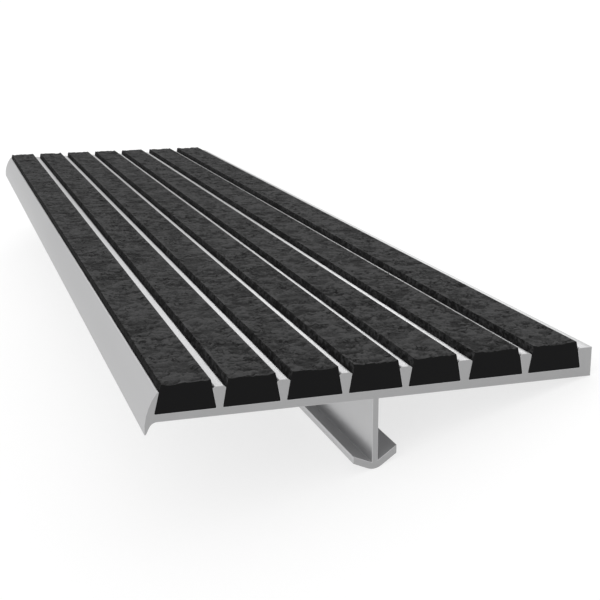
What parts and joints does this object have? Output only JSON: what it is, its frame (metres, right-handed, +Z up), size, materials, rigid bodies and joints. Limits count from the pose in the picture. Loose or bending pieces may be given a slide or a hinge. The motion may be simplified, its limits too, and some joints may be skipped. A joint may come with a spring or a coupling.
{
  "type": "stair nosing",
  "caption": "Extruded aluminium stair nosing with raised abrasive strips in dovetail channels, a curved pointed front lip, a square back flange and a V-footed anchor leg to cast in.",
  "frame": {"origin": "middle of the base of the bounding box, on the ground that the loose nosing rests on", "axes": "+Y runs along the length, +Z is up from the ground and +X points from the nose to the back. The loose nosing leans back by 16.8 degrees, on its anchor foot and the plate's back lower edge."},
  "size_m": [0.0998, 0.37, 0.0363],
  "materials": {
    "extrusion": "satin, as extruded",
    "abrasive": "dark grit in resin, rough on top"
  },
  "bodies": {
    "root": {"extrusion": "extrusion", "abrasive_strip_1": "abrasive", "abrasive_strip_2": "abrasive", "abrasive_strip_3": "abrasive", "abrasive_strip_4": "abrasive", "abrasive_strip_5": "abrasive", "abrasive_strip_6": "abrasive", "abrasive_strip_7": "abrasive"}
  },
  "joints": []
}
